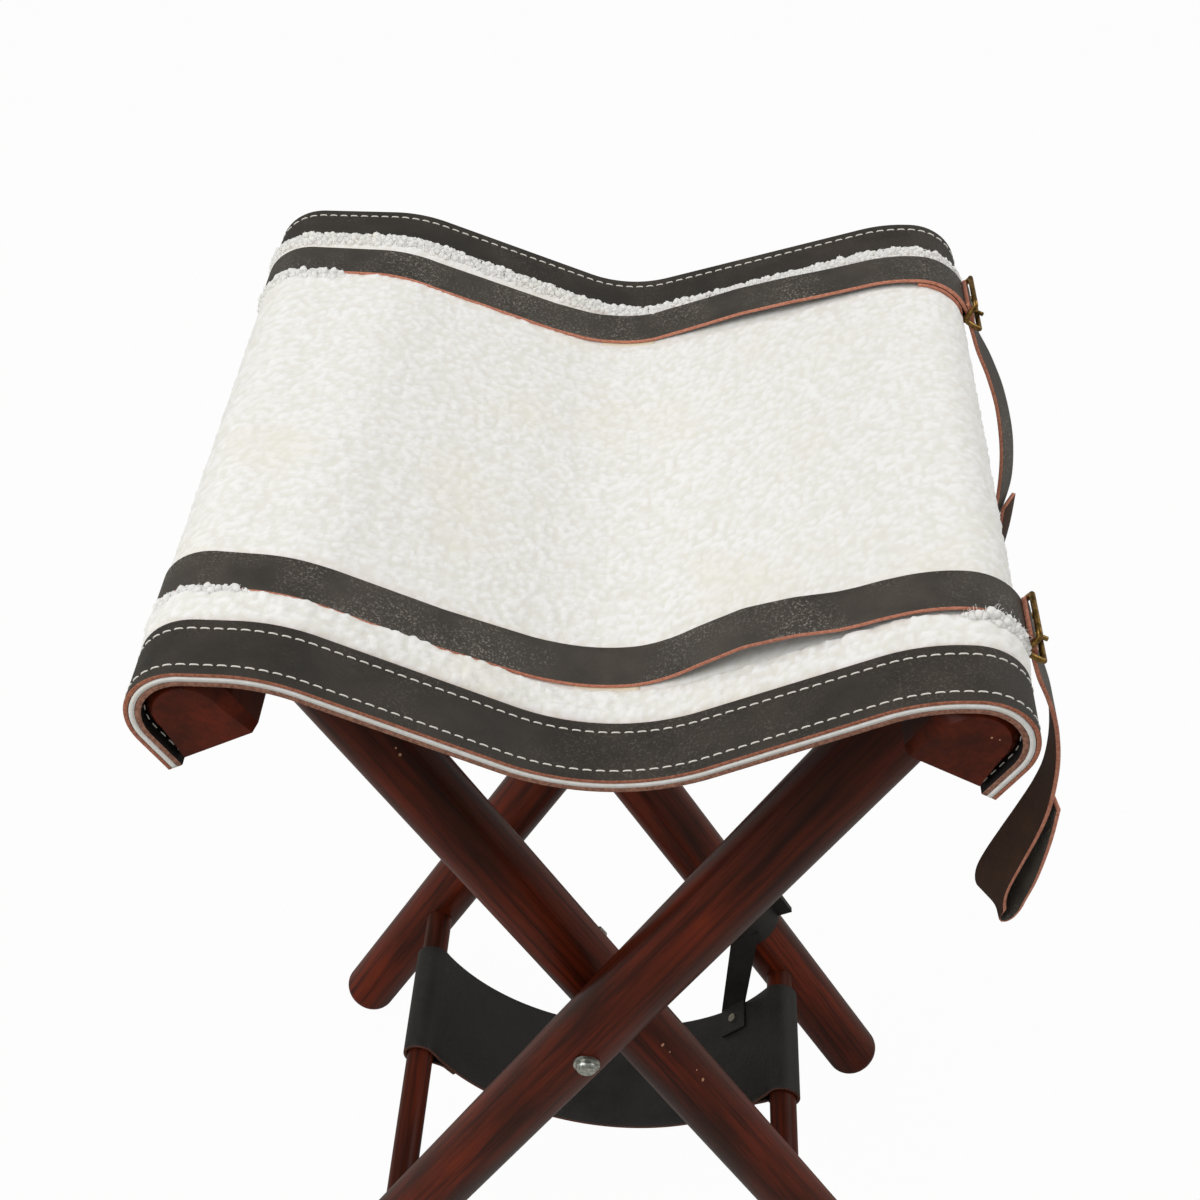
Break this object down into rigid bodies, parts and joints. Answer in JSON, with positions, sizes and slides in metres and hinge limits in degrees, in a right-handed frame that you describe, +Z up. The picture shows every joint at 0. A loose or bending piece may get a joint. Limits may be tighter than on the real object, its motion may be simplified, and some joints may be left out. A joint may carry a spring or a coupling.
{
  "type": "folding camping stool",
  "caption": "Folding X-frame camping stool of round wooden legs with a slung fleece and leather seat, buckled straps and a low leather sling.",
  "frame": {"origin": "centre of the footprint of the whole object, strap tails included, on the floor", "axes": "+Z up, +Y from the front legs to the rear ones, +X towards the buckles"},
  "size_m": [0.363, 0.3006, 0.5698],
  "materials": {
    "lacquered_wood": "semi-gloss lacquer",
    "cream_fleece": "curly pile",
    "cream_cloth": "plain weave",
    "base_leather": "smooth",
    "band_leather": "smooth satin",
    "strap_leather": "grained satin",
    "sling_leather": "matt",
    "antique_brass": "antique",
    "zinc_steel": "zinc plated",
    "nickel_steel": "nickel plated"
  },
  "bodies": {
    "outer_frame": {"billet_front": "strap_leather", "billet_rear": "strap_leather", "billet_tail_front": "strap_leather", "billet_tail_rear": "strap_leather", "buckle_front": "antique_brass", "buckle_rear": "antique_brass", "edge_band_front_right": "band_leather", "edge_band_rear_right": "band_leather", "head_washers": "zinc_steel", "leg_outer_front": "lacquered_wood", "leg_outer_rear": "lacquered_wood", "nut_washers": "zinc_steel", "pivot_bolt_front": "zinc_steel", "pivot_bolt_rear": "zinc_steel", "pivot_nut_front": "zinc_steel", "pivot_nut_rear": "zinc_steel", "rail_right": "lacquered_wood", "seat_fleece_right": "cream_fleece", "seat_leather_right": "base_leather", "seat_tacks_right": "zinc_steel", "sling_left": "sling_leather", "spacer_washers": "zinc_steel", "strap_front_right": "strap_leather", "strap_front_turned_back": "strap_leather", "strap_patch_front": "cream_cloth", "strap_patch_rear": "cream_cloth", "strap_rear_right": "strap_leather", "strap_rear_turned_back": "strap_leather", "stretcher_left": "lacquered_wood"},
    "inner_frame": {"edge_band_front_left": "band_leather", "edge_band_rear_left": "band_leather", "leg_inner_front": "lacquered_wood", "leg_inner_rear": "lacquered_wood", "rail_left": "lacquered_wood", "seat_fleece_left": "cream_fleece", "seat_leather_left": "base_leather", "seat_tacks_left": "zinc_steel", "sling_right": "sling_leather", "strap_front_left": "strap_leather", "strap_rear_left": "strap_leather", "stretcher_right": "lacquered_wood", "tie_rivet": "nickel_steel", "tie_strap": "sling_leather"},
    "tongue_front": {"tongue_front": "antique_brass"},
    "tongue_rear": {"tongue_rear": "antique_brass"}
  },
  "joints": [
    {"name": "fold", "type": "hinge", "parent": "outer_frame", "child": "inner_frame", "pos_m": [-0.00967, 0, 0.2989], "axis": [0, 1, 0], "range_deg": [0, 45], "deforming": ["edge_band_front_left", "edge_band_front_right", "edge_band_rear_left", "edge_band_rear_right", "seat_fleece_left", "seat_fleece_right", "seat_leather_left", "seat_leather_right", "sling_left", "sling_right", "strap_front_left", "strap_front_right", "strap_front_turned_back", "strap_patch_front", "strap_patch_rear", "strap_rear_left", "strap_rear_right", "strap_rear_turned_back"]},
    {"name": "tongue_front_swing", "type": "hinge", "parent": "outer_frame", "child": "tongue_front", "pos_m": [0.1469, -0.098, 0.55075], "axis": [0, -1, 0], "range_deg": [0, 50]},
    {"name": "tongue_rear_swing", "type": "hinge", "parent": "outer_frame", "child": "tongue_rear", "pos_m": [0.1469, 0.11, 0.55075], "axis": [0, -1, 0], "range_deg": [0, 50]}
  ]
}
